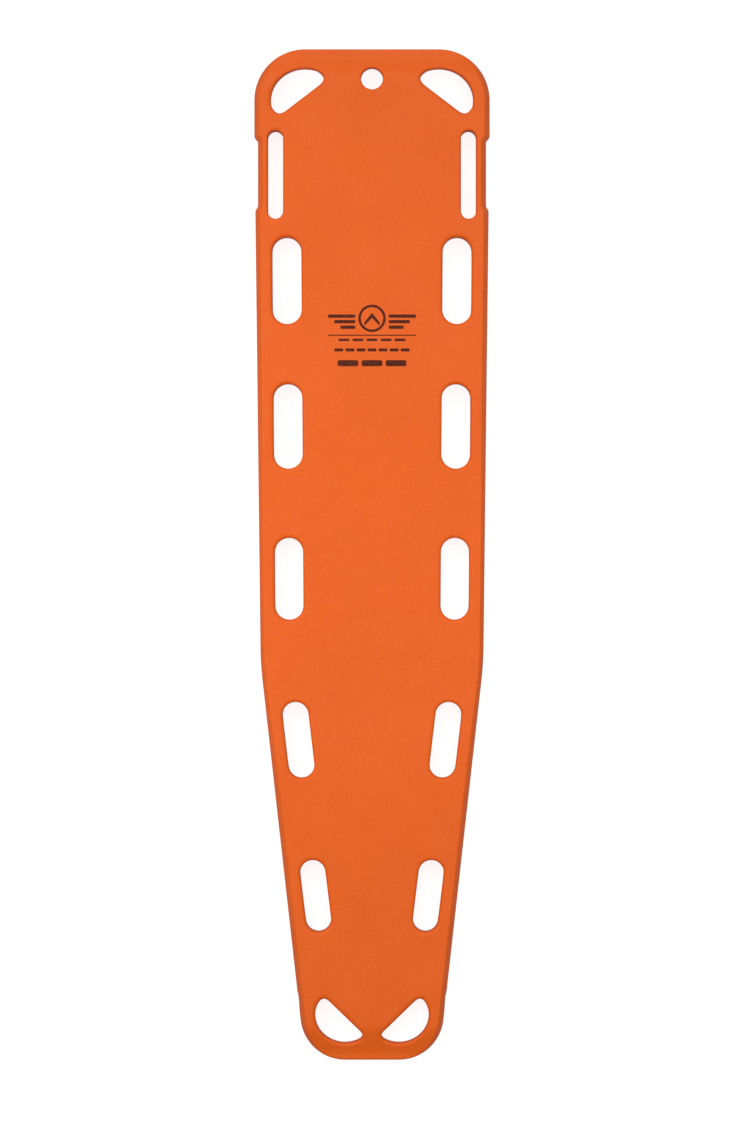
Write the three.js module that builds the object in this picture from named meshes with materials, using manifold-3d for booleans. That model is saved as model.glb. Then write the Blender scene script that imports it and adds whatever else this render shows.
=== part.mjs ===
// Spine board: a full-length moulded backboard for carrying a patient who must not be bent.
// It lies flat with the patient side up: X is across it, Y runs towards the head end and Z is up.
// Two polyethylene shells meet around the edge, over a foam core with two stiffener rods in it.

import * as THREE from "three";
import { mergeVertices } from "three/addons/utils/BufferGeometryUtils.js";
import Module from "manifold-3d";

const wasm = await Module();
wasm.setup();

// Driving dimensions in millimetres. A station is a distance down the board from its head end.
const LENGTH = 1829;
const THICKNESS = 57;
const WALL = 4;
const GAP = 0.3;
const PARTING_HEIGHT = 36;

// Plan outline.
const HEAD_HALF_WIDTH = 213;
const HEAD_RADIUS = 92;
const NOTCH = { start: 160, end: 292, depth: 6.6, ramp: 7 };
const SHOULDER_HALF_WIDTH = 211.2;
const KNEE_STATION = 1112;
const KNEE_EASE = 30;
const TAPER_ANGLE = THREE.MathUtils.degToRad(6.4);
const FOOT_RADIUS = 81;
const FOOT_HALF_FLAT = 48.8;

// The edge has an upright band in the middle and leans inwards above and below it.
const EDGE_LEAN_HEIGHT = 18;
const EDGE_LEAN_INSET = 8;

// Side profile: both ends are thinned to a blunt nose, and both faces are eased in mid length.
const NOSE_TOP = 42.5;
const NOSE_BOTTOM = 21.5;
const HEAD_END = { ledge: 20, crest: 62, chinEnd: 28, lift: 7.5, stepStart: 92, stepEnd: 106 };
const BROW_DROP = 1; // how far the head end's curve is drawn below the patient side's height
const FOOT_END = { ledge: 12, crest: 54, chinEnd: 28, lift: 6.5, stepStart: 74, stepEnd: 90 };
const DISH = { depth: 3.6, stations: [620, 850, 1120, 1330] };
const ARCH = { depth: 7.2, stations: [400, 900, 1340, 1620] };
const EASE_STEPS = 4;

// Holes.
const ARC_STEPS = 3;
const PIN_HOLE = { station: 53.7, radius: 20 };
const STRAP_SLOT = { station: 227.5, offset: 174.6, length: 160, width: 27.5, lean: 0 };
const HAND_HOLDS = [
  { station: 419, offset: 153.8, length: 157.5, width: 52.5, lean: 0.4 },
  { station: 682.5, offset: 151.8, length: 153.5, width: 52, lean: 0.4 },
  { station: 958.5, offset: 149.9, length: 148, width: 51, lean: 0.4 },
  { station: 1250, offset: 133, length: 138, width: 46.8, lean: 6.7 },
  { station: 1532, offset: 102, length: 130.5, width: 45.5, lean: 6.9 },
];
const HOLE_CHAMFER = 4;
// A corner handle is the part of an ellipse between two angles, closed by a straight edge.
const HEAD_HANDLE = {
  centre: [121, 92],
  radii: [62, 57],
  angles: [-34.7, 135.4],
  tipAngles: [21.4, 25],
  tipShares: [0.165, 0.21],
};
const FOOT_HANDLE = {
  centre: [48.8, 1748],
  radii: [54, 50],
  angles: [-132, 44.6],
  tipAngles: [13, 14.5],
  tipShares: [0.115, 0.13],
};
const HOLE_REACH = 10; // how far a hole's cutter runs past both faces
const SLACK = 1; // how far any other cutting form runs past the board

// Finger scoops under the rail beside each hand hold.
const SCOOP_SHARE = 0.6;
const SCOOP_DEPTH = 11;
const SCOOP_CORNER = 9;
const SCOOP_CORNER_STEPS = 2;
const SCOOP_WIDTH = 80;

// Inner pieces.
const ROD = { radius: 6, offset: 48, height: 29, start: 30, end: 1730, sides: 16 };
const CHANNEL_PAST = 40; // how far a rod's channel in the foam runs past each end of the rod
const PLUG = { headRadius: 7.7, headDepth: 1.5, stemRadius: 4.7, length: 10, height: 29, sides: 20 };

const SIDES = { left: -1, right: 1 };

const PALETTE = {
  shell: { color: 0xe96528, roughness: 0.35, metalness: 0 },
  foam: { color: 0xe8d9a8, roughness: 0.9, metalness: 0 },
  rod: { color: 0x1d1e20, roughness: 0.5, metalness: 0 },
  plug: { color: 0xd95620, roughness: 0.4, metalness: 0 },
};

const along = (station) => LENGTH / 2 - station;

const MERGE_DISTANCE = 1e-3; // vertices closer than this are one

/** A closed three.js geometry as a solid that can be joined and cut. */
function solidOf(geometry) {
  const bare = geometry.clone();
  bare.deleteAttribute("normal");
  bare.deleteAttribute("uv");
  const merged = mergeVertices(bare, MERGE_DISTANCE);
  return new wasm.Manifold(
    new wasm.Mesh({
      numProp: 3,
      vertProperties: merged.attributes.position.array,
      triVerts: new Uint32Array(merged.index.array),
    }),
  );
}

/** A finished solid as a named mesh of one of the board's materials. */
function meshOf(name, solid, look) {
  const { vertProperties, triVerts } = solid.getMesh();
  const shared = new THREE.BufferGeometry();
  shared.setAttribute("position", new THREE.BufferAttribute(vertProperties, 3));
  shared.setIndex(new THREE.BufferAttribute(triVerts, 1));
  const geometry = shared.toNonIndexed();
  geometry.computeVertexNormals();
  const mesh = new THREE.Mesh(geometry, new THREE.MeshStandardMaterial(PALETTE[look]));
  mesh.name = name;
  return mesh;
}

/** A closed polygon moved inwards with its corners kept sharp; a negative distance grows it. */
function inset(points, distance) {
  const inwards = THREE.ShapeUtils.isClockWise(points) ? -distance : distance;
  return points.map((point, i) => {
    const before = points.at(i - 1);
    const after = points[(i + 1) % points.length];
    const a = point.clone().sub(before).normalize();
    const b = after.clone().sub(point).normalize();
    const normal = new THREE.Vector2(-a.y - b.y, a.x + b.x);
    return point.clone().addScaledVector(normal, inwards / (1 + a.dot(b)));
  });
}

/** A polygon in plan, extruded between two heights. */
function upright(points, low, high) {
  const geometry = new THREE.ExtrudeGeometry(new THREE.Shape(points), {
    depth: high - low,
    bevelEnabled: false,
  });
  return solidOf(geometry.translate(0, 0, low));
}

/** A polygon of lengths along Y and heights, extruded across the board between two X. */
function across(points, low, high) {
  const geometry = new THREE.ExtrudeGeometry(new THREE.Shape(points), {
    depth: high - low,
    bevelEnabled: false,
  });
  geometry.translate(0, 0, low);
  const axes = [new THREE.Vector3(0, 1, 0), new THREE.Vector3(0, 0, 1), new THREE.Vector3(1, 0, 0)];
  return geometry.applyMatrix4(new THREE.Matrix4().makeBasis(...axes));
}

// ---- The body's outer form ----

/** The plan outline: round head corners, notched sides, a knee and a tapered foot. */
function outlinePoints() {
  const notchHalfWidth = HEAD_HALF_WIDTH - NOTCH.depth;
  const tangentX = FOOT_HALF_FLAT + FOOT_RADIUS * Math.cos(TAPER_ANGLE);
  const tangentStation = LENGTH - FOOT_RADIUS + FOOT_RADIUS * Math.sin(TAPER_ANGLE);
  const onTaper = (station) => tangentX + (tangentStation - station) * Math.tan(TAPER_ANGLE);
  const kneeEnd = KNEE_STATION + KNEE_EASE;
  const headCentre = HEAD_HALF_WIDTH - HEAD_RADIUS;

  const side = new THREE.Path();
  side.absarc(headCentre, along(HEAD_RADIUS), HEAD_RADIUS, Math.PI / 2, 0, true);
  side.lineTo(HEAD_HALF_WIDTH, along(NOTCH.start));
  side.lineTo(notchHalfWidth, along(NOTCH.start + NOTCH.ramp));
  side.lineTo(notchHalfWidth, along(NOTCH.end - NOTCH.ramp));
  side.lineTo(SHOULDER_HALF_WIDTH, along(NOTCH.end));
  const fall = (SHOULDER_HALF_WIDTH - onTaper(KNEE_STATION)) / (KNEE_STATION - NOTCH.end);
  side.lineTo(onTaper(KNEE_STATION) + fall * KNEE_EASE, along(KNEE_STATION - KNEE_EASE));
  side.quadraticCurveTo(
    onTaper(KNEE_STATION),
    along(KNEE_STATION),
    onTaper(kneeEnd),
    along(kneeEnd),
  );
  side.absarc(
    FOOT_HALF_FLAT,
    along(LENGTH - FOOT_RADIUS),
    FOOT_RADIUS,
    -TAPER_ANGLE,
    -Math.PI / 2,
    true,
  );
  const right = side.getPoints(ARC_STEPS);
  const left = right.map((point) => new THREE.Vector2(-point.x, point.y)).reverse();
  return [...right, ...left];
}

/** The plan form with its leaning edges, at full height. */
function planForm(depthInside) {
  const geometry = new THREE.ExtrudeGeometry(
    new THREE.Shape(inset(outlinePoints(), depthInside)),
    {
      depth: THICKNESS - 2 * EDGE_LEAN_HEIGHT,
      bevelThickness: EDGE_LEAN_HEIGHT,
      bevelSize: EDGE_LEAN_INSET,
      bevelOffset: -EDGE_LEAN_INSET,
      bevelSegments: 1,
    },
  );
  return solidOf(geometry.translate(0, 0, EDGE_LEAN_HEIGHT));
}

/** A smooth rise from 0 to 1 and back, between four stations. */
function swell(station, [start, full, fade, end]) {
  const rise = THREE.MathUtils.smoothstep(station, start, full);
  return rise * (1 - THREE.MathUtils.smoothstep(station, fade, end));
}

/** The stations at which an eased face needs points. */
function easeStations([start, full, fade, end]) {
  const steps = [...Array(EASE_STEPS + 1).keys()].map((i) => i / EASE_STEPS);
  const rise = steps.map((t) => THREE.MathUtils.lerp(start, full, t));
  const fall = steps.map((t) => THREE.MathUtils.lerp(fade, end, t));
  return [...rise, ...fall];
}

const topHeight = (station) => THICKNESS - DISH.depth * swell(station, DISH.stations);
const bottomHeight = (station) => ARCH.depth * swell(station, ARCH.stations);

/** The side profile, as lengths along Y and heights. */
function profilePoints() {
  const at = (station, height) => new THREE.Vector2(along(station), height);
  const brow = new THREE.QuadraticBezierCurve(
    at(HEAD_END.ledge, NOSE_TOP),
    at((HEAD_END.ledge + HEAD_END.crest) / 2, THICKNESS - BROW_DROP),
    at(HEAD_END.crest, THICKNESS),
  );
  const top = easeStations(DISH.stations).map((station) => at(station, topHeight(station)));
  const bottom = easeStations(ARCH.stations).map((station) => at(station, bottomHeight(station)));
  return [
    at(0, NOSE_BOTTOM),
    at(0, NOSE_TOP),
    ...brow.getPoints(ARC_STEPS),
    ...top,
    at(LENGTH - FOOT_END.crest, THICKNESS),
    at(LENGTH - FOOT_END.ledge, NOSE_TOP),
    at(LENGTH, NOSE_TOP),
    at(LENGTH, NOSE_BOTTOM),
    at(LENGTH - FOOT_END.chinEnd, FOOT_END.lift),
    at(LENGTH - FOOT_END.stepStart, FOOT_END.lift),
    at(LENGTH - FOOT_END.stepEnd, 0),
    ...bottom.reverse(),
    at(HEAD_END.stepEnd, 0),
    at(HEAD_END.stepStart, HEAD_END.lift),
    at(HEAD_END.chinEnd, HEAD_END.lift),
  ];
}

/** The side profile as a slab wider than the board. */
function profileForm(depthInside) {
  const points = inset(profilePoints(), depthInside);
  return solidOf(across(points, -HEAD_HALF_WIDTH - SLACK, HEAD_HALF_WIDTH + SLACK));
}

// ---- Holes ----

/** Points of a shape drawn about the origin, turned and moved to its place on one side. */
function placed(points, offset, station, lean, side) {
  const turn = -side * THREE.MathUtils.degToRad(lean);
  const origin = new THREE.Vector2();
  const shift = new THREE.Vector2(side * offset, along(station));
  return points.map((point) => point.clone().rotateAround(origin, turn).add(shift));
}

/** A slot with full round ends. */
function slotPoints({ station, offset, length, width, lean }, side) {
  const radius = width / 2;
  const reach = length / 2 - radius;
  const path = new THREE.Path();
  path.absarc(0, reach, radius, 0, Math.PI, false);
  path.absarc(0, -reach, radius, Math.PI, 2 * Math.PI, false);
  return placed(path.getPoints(ARC_STEPS), offset, station, lean, side);
}

/** A D-shaped corner handle: drawn on a unit circle, then stretched to its ellipse. */
function handlePoints({ centre, radii, angles, tipAngles, tipShares }, side) {
  const [from, to] = angles.map(THREE.MathUtils.degToRad);
  const [fromTip, toTip] = tipAngles.map(THREE.MathUtils.degToRad);
  const onCircle = (angle) => new THREE.Vector2(Math.cos(angle), Math.sin(angle));
  const first = onCircle(from);
  const last = onCircle(to);
  const start = first.clone().lerp(last, tipShares[0]);
  const finish = last.clone().lerp(first, tipShares[1]);
  const firstArc = onCircle(from + fromTip);

  const path = new THREE.Path();
  path.moveTo(start.x, start.y);
  path.quadraticCurveTo(first.x, first.y, firstArc.x, firstArc.y);
  path.absarc(0, 0, 1, from + fromTip, to - toTip, false);
  path.quadraticCurveTo(last.x, last.y, finish.x, finish.y);
  const stretch = new THREE.Vector2(...radii);
  const corner = new THREE.Vector2(centre[0], along(centre[1]));
  return path.getPoints(ARC_STEPS).map((point) => {
    const right = point.clone().multiply(stretch).add(corner);
    return new THREE.Vector2(side * right.x, right.y);
  });
}

/** The round hole in the middle of the head end. */
function pinHolePoints() {
  const path = new THREE.Path();
  path.absarc(0, along(PIN_HOLE.station), PIN_HOLE.radius, 0, 2 * Math.PI, false);
  return path.getPoints(2 * ARC_STEPS).slice(0, -1);
}

/** A frustum that eases a hole's rim into a face; its wide end lies on the face. */
function chamferForm(points, height, facing) {
  const geometry = new THREE.ExtrudeGeometry(new THREE.Shape(points), {
    depth: HOLE_REACH,
    bevelThickness: HOLE_CHAMFER,
    bevelSize: HOLE_CHAMFER,
    bevelSegments: 1,
  });
  geometry.translate(0, 0, facing > 0 ? height : height - HOLE_REACH);
  return solidOf(geometry);
}

/** One hole's cutter, grown by a distance where the hole's own wall is to be left standing. */
function holeForm(points, grow) {
  return upright(inset(points, -grow), -HOLE_REACH, THICKNESS + HOLE_REACH);
}

/** Every hole through the board; the chamfers are only on the outer form. */
function holes(grow) {
  const cutters = [holeForm(pinHolePoints(), grow)];
  for (const side of Object.values(SIDES)) {
    cutters.push(holeForm(handlePoints(HEAD_HANDLE, side), grow));
    cutters.push(holeForm(handlePoints(FOOT_HANDLE, side), grow));
    for (const slot of [STRAP_SLOT, ...HAND_HOLDS]) {
      const points = slotPoints(slot, side);
      cutters.push(holeForm(points, grow));
      if (grow === 0) {
        cutters.push(chamferForm(points, topHeight(slot.station), 1));
        cutters.push(chamferForm(points, bottomHeight(slot.station), -1));
      }
    }
  }
  return cutters;
}

/** The hollow for the fingers under the rail beside one hand hold, grown by a distance. */
function scoopForm({ station, offset, length, lean }, side, grow) {
  const half = (SCOOP_SHARE * length) / 2;
  const path = new THREE.Path();
  path.moveTo(half, -THICKNESS);
  path.lineTo(half, SCOOP_DEPTH - SCOOP_CORNER);
  path.absarc(half - SCOOP_CORNER, SCOOP_DEPTH - SCOOP_CORNER, SCOOP_CORNER, 0, Math.PI / 2, false);
  path.absarc(
    SCOOP_CORNER - half,
    SCOOP_DEPTH - SCOOP_CORNER,
    SCOOP_CORNER,
    Math.PI / 2,
    Math.PI,
    false,
  );
  path.lineTo(-half, -THICKNESS);
  const points = inset(path.getPoints(SCOOP_CORNER_STEPS), -grow);
  const geometry = across(points, side > 0 ? 0 : -SCOOP_WIDTH, side > 0 ? SCOOP_WIDTH : 0);
  geometry.rotateZ(-side * THREE.MathUtils.degToRad(lean));
  return solidOf(geometry.translate(side * offset, along(station), bottomHeight(station)));
}

function scoops(grow) {
  return Object.values(SIDES).flatMap((side) =>
    HAND_HOLDS.map((slot) => scoopForm(slot, side, grow)),
  );
}

/** The board's whole form, taken in by a distance on every face. */
function boardForm(depthInside) {
  const body = planForm(depthInside).intersect(profileForm(depthInside));
  return [...holes(depthInside), ...scoops(depthInside)].reduce(
    (rest, cutter) => rest.subtract(cutter),
    body,
  );
}

// ---- Pieces ----

/** A slab of the whole plan between two heights, which parts one shell from the other. */
function layer(low, high) {
  const x = HEAD_HALF_WIDTH + SLACK;
  const y = LENGTH / 2 + SLACK;
  const corners = [
    [-x, -y],
    [x, -y],
    [x, y],
    [-x, y],
  ];
  return upright(
    corners.map((corner) => new THREE.Vector2(...corner)),
    low,
    high,
  );
}

/** A round pin along the board's length, from a lathe profile of [radius, distance] pairs. */
function lengthwisePin(profile, sides) {
  const points = profile.map((pair) => new THREE.Vector2(...pair));
  return solidOf(new THREE.LatheGeometry(points, sides));
}

/** The plug's form at one end of the board, grown by a clearance. */
function plugForm(end, grow) {
  const headRadius = PLUG.headRadius + grow;
  const headDepth = PLUG.headDepth + grow;
  const stemRadius = PLUG.stemRadius + grow;
  const reach = PLUG.length + grow;
  const proud = grow > 0 ? SLACK : 0;
  const pin = lengthwisePin(
    [
      [0, -reach],
      [stemRadius, -reach],
      [stemRadius, -headDepth],
      [headRadius, -headDepth],
      [headRadius, proud],
      [0, proud],
    ],
    PLUG.sides,
  );
  const turned = end > 0 ? pin : pin.rotate([180, 0, 0]);
  return turned.translate([0, (end * LENGTH) / 2, PLUG.height]);
}

/** A stiffener rod, or with a clearance the channel that holds it and runs out past both its ends. */
function rodForm(side, clearance) {
  const past = clearance > 0 ? CHANNEL_PAST : 0;
  const geometry = new THREE.CylinderGeometry(
    ROD.radius + clearance,
    ROD.radius + clearance,
    ROD.end - ROD.start + 2 * past,
    ROD.sides,
  );
  return solidOf(
    geometry.translate(side * ROD.offset, along((ROD.start + ROD.end) / 2), ROD.height),
  );
}

function shells(plugSockets) {
  const walls = boardForm(0).subtract(boardForm(WALL));
  const drilled = plugSockets.reduce((rest, socket) => rest.subtract(socket), walls);
  return {
    upper: drilled.intersect(layer(PARTING_HEIGHT + GAP / 2, THICKNESS + SLACK)),
    lower: drilled.intersect(layer(-SLACK, PARTING_HEIGHT - GAP / 2)),
  };
}

function foamCore(plugSockets) {
  const channels = Object.values(SIDES).map((side) => rodForm(side, GAP));
  return [...channels, ...plugSockets].reduce(
    (rest, cutter) => rest.subtract(cutter),
    boardForm(WALL + GAP),
  );
}

const board = new THREE.Group();
const sockets = [plugForm(1, GAP), plugForm(-1, GAP)];
const { upper, lower } = shells(sockets);
board.add(meshOf("patient_side_shell", upper, "shell"));
board.add(meshOf("underside_shell", lower, "shell"));
board.add(meshOf("foam_core", foamCore(sockets), "foam"));
for (const [label, side] of Object.entries(SIDES)) {
  board.add(meshOf(`stiffener_rod_${label}`, rodForm(side, 0), "rod"));
}
board.add(meshOf("vent_plug_head_end", plugForm(1, 0), "plug"));
board.add(meshOf("foam_fill_plug_foot_end", plugForm(-1, 0), "plug"));

export default board;
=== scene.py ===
"""Spine board: detailed shells, plugs, print, materials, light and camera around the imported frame."""

import math

import bmesh
import bpy
import numpy as np
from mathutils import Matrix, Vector
from mathutils.geometry import delaunay_2d_cdt


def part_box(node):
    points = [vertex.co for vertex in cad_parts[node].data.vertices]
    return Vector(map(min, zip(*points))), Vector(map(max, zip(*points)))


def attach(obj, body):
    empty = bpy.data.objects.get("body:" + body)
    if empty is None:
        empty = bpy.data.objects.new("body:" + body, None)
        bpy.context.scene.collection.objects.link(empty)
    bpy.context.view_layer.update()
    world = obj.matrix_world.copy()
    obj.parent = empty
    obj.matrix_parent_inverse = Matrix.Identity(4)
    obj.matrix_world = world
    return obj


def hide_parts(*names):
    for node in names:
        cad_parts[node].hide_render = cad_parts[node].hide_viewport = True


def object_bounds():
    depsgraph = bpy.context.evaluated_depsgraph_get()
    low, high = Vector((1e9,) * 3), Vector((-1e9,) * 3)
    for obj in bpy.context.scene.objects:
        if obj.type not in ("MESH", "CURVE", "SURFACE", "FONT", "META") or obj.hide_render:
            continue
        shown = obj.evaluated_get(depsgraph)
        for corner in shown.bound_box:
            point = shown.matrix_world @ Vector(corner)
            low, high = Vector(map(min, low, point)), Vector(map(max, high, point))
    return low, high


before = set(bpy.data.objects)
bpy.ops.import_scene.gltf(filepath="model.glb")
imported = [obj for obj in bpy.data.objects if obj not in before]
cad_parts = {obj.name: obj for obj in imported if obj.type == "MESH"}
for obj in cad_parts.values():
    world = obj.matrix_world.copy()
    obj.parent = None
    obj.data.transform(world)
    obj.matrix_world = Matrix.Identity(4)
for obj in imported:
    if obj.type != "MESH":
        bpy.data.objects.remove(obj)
cad_low, cad_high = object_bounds()

# ---- Driving dimensions, in millimetres. A station is a distance down the board from its head end. ----

MM = 0.001
LENGTH = (cad_high.y - cad_low.y) / MM
THICKNESS = (cad_high.z - cad_low.z) / MM
HEAD_HALF_WIDTH = (cad_high.x - cad_low.x) / 2 / MM
PARTING_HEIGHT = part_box("patient_side_shell")[0].z / MM
SHELL_WALL = 3.6
SEAM_GAP = 0.1  # between the parting line and each shell

HEAD_RADIUS = 92
NOTCH_START = 160
NOTCH_END = 292
NOTCH_DEPTH = 6.6
NOTCH_RAMP = 7
NOTCH_ROUND = 3
NOTCH_LEAD = 1  # a short straight between the head corner and the side
SHOULDER_HALF_WIDTH = 211.2
KNEE_STATION = 1112
KNEE_EASE = 30
TAPER_ANGLE = math.radians(6.4)
FOOT_RADIUS = 81
FOOT_HALF_FLAT = 48.8

# The upright band of the edge lies between two heights; the edge leans inwards above and below it.
BAND_LOW = 18
BAND_HIGH = THICKNESS - 18
EDGE_SLOPE = 18 / 8
CREASE_DROP = 0.8
CREASE_WIDTH = 0.5

# Rounding between the leaning edge and a face, and the smaller rounding at the thin noses.
FACE_EASE = 5
NOSE_EASE = 2
TOP_FACE_BAND = 6
BOTTOM_FACE_BAND = 12

NOSE_TOP = 42.5
NOSE_BOTTOM = 21.5
HEAD_LEDGE = 20
HEAD_CREST = 62
BROW_DROP = 1  # how far the head end's curve is drawn below the patient side's height
FOOT_LEDGE = 12
FOOT_CREST = 54
FOOT_LEDGE_EASE = 1.5
FOOT_CREST_EASE = 4
CHIN_END = 28
CHIN_EASE = 3
HEAD_LIFT = 7.5
HEAD_STEP = (92, 106)
FOOT_LIFT = 6.5
FOOT_STEP = (74, 90)
DISH_DEPTH = 3.6
DISH_STATIONS = (620, 850, 1120, 1330)
ARCH_DEPTH = 7.2
ARCH_STATIONS = (400, 900, 1340, 1620)

# A faint step, bowed about a height, crosses the edge a little before the foot corner.
SIDE_STEP_STATION = 1700
SIDE_STEP_DEPTH = 0.9
SIDE_STEP_RAMP = 1.5
SIDE_STEP_RUN = 12
SIDE_STEP_FADE = 1745
SIDE_STEP_BOW = 8
BOW_HEIGHT = 22
BOW_HALF_HEIGHT = 17

# Holes on the right side: offsets are from the centre line and leans are in degrees.
PIN_HOLE = {"station": 53.7, "radius": 20, "fillet": 4}
STRAP_SLOT = {"station": 227.5, "offset": 174.6, "length": 160, "width": 27.5, "lean": 0, "fillet": 4}
HAND_HOLDS = [
    {"station": 419, "offset": 153.8, "length": 157.5, "width": 52.5, "lean": 0.4, "fillet": 6},
    {"station": 682.5, "offset": 151.8, "length": 153.5, "width": 52, "lean": 0.4, "fillet": 6},
    {"station": 958.5, "offset": 149.9, "length": 148, "width": 51, "lean": 0.4, "fillet": 6},
    {"station": 1250, "offset": 133, "length": 138, "width": 46.8, "lean": 6.7, "fillet": 6},
    {"station": 1532, "offset": 102, "length": 130.5, "width": 45.5, "lean": 6.9, "fillet": 6},
]
# A corner handle is part of an ellipse between two angles, closed by a straight edge. Its tips are
# rounded over these angles of the ellipse and these shares of the straight edge.
HEAD_HANDLE = {
    "centre": (121, 92),
    "radii": (62, 57),
    "angles": (-34.7, 135.4),
    "tip_angles": (21.4, 25),
    "tip_shares": (0.165, 0.21),
    "fillet": 6,
}
FOOT_HANDLE = {
    "centre": (48.8, 1748),
    "radii": (54, 50),
    "angles": (-132, 44.6),
    "tip_angles": (13, 14.5),
    "tip_shares": (0.115, 0.13),
    "fillet": 7,
}

# Finger scoops under the rail beside each hand hold, as long as a share of it.
SCOOP_SHARE = 0.6
SCOOP_DEPTH = 11
SCOOP_RAMP = 9
SCOOP_BULGE = 4
RAIL_HALF_WIDTH = 15

# Mesh density: rows of points beside the outline, then spacings along lines and over faces.
EDGE_RINGS = (0, 0.15, 0.5, 1.2, 3.2, 5.4, 6.5, 7.3, 8.0, 8.8, 9.9, 11.5)
WALL_SHARES = (0.04, 0.25, 0.5, 0.75, 0.985, 1.0)
FILLET_STEPS = 5
RIM_MARGIN = 2
LOOP_SPACING = 4.0
HOLE_SPACING = 3.2
FINE_SPACING = 1.2
DENSE_SPACING = 0.25
FEWEST_STEPS = 8
FINE_MARGIN = 8
FINE_RUN = 18
GRID_SPACING = 9.0
FINE_GRID = 3.5
NOSE_GRID = 3.0
GRID_MARGIN = 6
CLEARANCE = 2.2
CENTRE_GAP_STEPS = 3
EDGE_SMOOTHINGS = 40
ROUND_STEPS = 60
SLOT_STEPS = 24
TIP_STEPS = 10
CURVE_STEPS = 8
SHARP_ANGLE = math.radians(35)
FAR = 1e6
TINY = 1e-6
FILL_TOLERANCE = 1e-5

# A plug's head as (share of its radius, distance out of the end face), then its stem.
PLUG_SIDES = 48
PLUG_HEAD = (
    (0, -0.5),
    (0.28, -0.5),
    (0.36, -0.1),
    (0.58, 0.0),
    (0.64, -0.35),
    (0.70, -0.35),
    (0.76, 0.0),
    (0.93, -0.05),
    (1, -0.4),
    (1, -1.45),
)
PLUG_HEAD_DEPTH = 1.5
PLUG_STEM_SHARE = 0.61
PLUG_TIP_SHARE = 0.5
PLUG_TIP_LENGTH = 1

# The printed mark on the patient side.
MARK_TOP = 463
MARK_BOTTOM = 581
MARK_HALF_WIDTH = 79.5
INK_LIFT = 0.01
INK_THICKNESS = 0.12
RING_SHARE = 0.21  # the ring's radius as a share of the mark's height
RING_WIDTH = 4.6
RING_STEPS = 64
CHEVRON_SHARE = 0.56  # half the arrowhead's width as a share of the ring's radius
CHEVRON_FOOT = 0.5
CHEVRON_TIP = 0.7
CHEVRON_ARM = 6.5
CHEVRON_POINT = 1.4  # how much thicker the arm is at its point
WING_ROOT = 0.38
WING_SHARES = (1.0, 0.86, 0.72)
WING_PITCH = 10
WING_TOP = 0.7
WING_THICKNESS = 6
BAR_ROUNDING = 0.6
BAR_STEPS = 5
# Rows of dashes: share of the width, drop as a share of the height, thickness, number, gap.
MARK_ROWS = (
    (1.0, 0.46, 2.0, 1, 0),
    (0.80, 0.52, 4.5, 5, 6),
    (0.88, 0.67, 5.5, 7, 4),
    (0.82, 0.85, 11.0, 3, 6),
)

# Camera: the height of the view in board millimetres, how far the board sits above its middle,
# and the lens in millimetres.
FRAME_HEIGHT = 2033
FRAME_RISE = 14.5
LENS = 200
SENSOR = 36
CLIP_END = 200

# The floor: its colour, the light of its own that the camera sees and the light it sheds on the board.
FLOOR_ALBEDO = 0.35
FLOOR_GLOW = 0.85
FLOOR_SHED = 0.1
FLOOR_REACH = 40
FLOOR_DROP = 0.5 * MM

# Studio light: soft boxes as (name, place, side length, power), in metres and watts.
AMBIENT = 0.4
KEY_STRENGTH = 1.08
KEY_SPREAD = math.radians(50)
KEY_TILT = (math.radians(-20), math.radians(-6))
SOFT_BOXES = (
    ("head_box", (-0.5, 3.2, 0.9), 0.9, 9),
    ("left_box", (-1.0, 0.1, 1.0), 0.8, 4.9),
    ("right_box", (1.0, 0.1, 1.0), 0.8, 2.8),
)

# Colours, as linear red, green and blue.
BOARD_ORANGES = ((0.800, 0.109, 0.0075), (0.845, 0.120, 0.0090))
SPECKLE_ORANGE = (0.90, 0.165, 0.015)
WORN_ORANGE = (0.9, 0.2, 0.045)
PLUG_ORANGES = ((0.66, 0.075, 0.010), (0.74, 0.095, 0.014))
INK_BROWNS = ((0.075, 0.014, 0.007), (0.17, 0.034, 0.011))
FOAM_CREAMS = ((0.72, 0.6, 0.34), (0.86, 0.77, 0.5))
ROD_BLACKS = ((0.010, 0.010, 0.012), (0.04, 0.042, 0.046))


# ---- Small numeric helpers ----


def smoothstep(start, end, value):
    """A smooth rise from 0 to 1 between two values."""
    t = min(max((value - start) / (end - start), 0.0), 1.0)
    return t * t * (3 - 2 * t)


def soft_min(a, b, ease):
    """The smaller of two heights, rounded over where they meet."""
    h = max(ease - abs(a - b), 0.0) / ease
    return min(a, b) - h * h * ease / 4


def soft_max(a, b, ease):
    """The larger of two heights, rounded over where they meet."""
    return -soft_min(-a, -b, ease)


def swell(station, stations):
    """A smooth rise from 0 to 1 and back, between four stations."""
    start, full, fade, end = stations
    return smoothstep(start, full, station) * (1 - smoothstep(fade, end, station))


# ---- Side profile ----


def top_profile(station):
    """Height of the patient side on the board's centre line."""
    from_foot = LENGTH - station
    t = min(max((station - HEAD_LEDGE) / (HEAD_CREST - HEAD_LEDGE), 0.0), 1.0)
    head = (1 - t) ** 2 * NOSE_TOP + 2 * t * (1 - t) * (THICKNESS - BROW_DROP) + t * t * THICKNESS
    rise = (THICKNESS - NOSE_TOP) * (from_foot - FOOT_LEDGE) / (FOOT_CREST - FOOT_LEDGE)
    foot = soft_max(NOSE_TOP, NOSE_TOP + rise, FOOT_LEDGE_EASE)
    face = THICKNESS - DISH_DEPTH * swell(station, DISH_STATIONS)
    if station < LENGTH / 2:
        return min(head, face)
    if from_foot < FOOT_CREST + FOOT_CREST_EASE:
        return soft_min(foot, face, FOOT_CREST_EASE)
    return face


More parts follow.
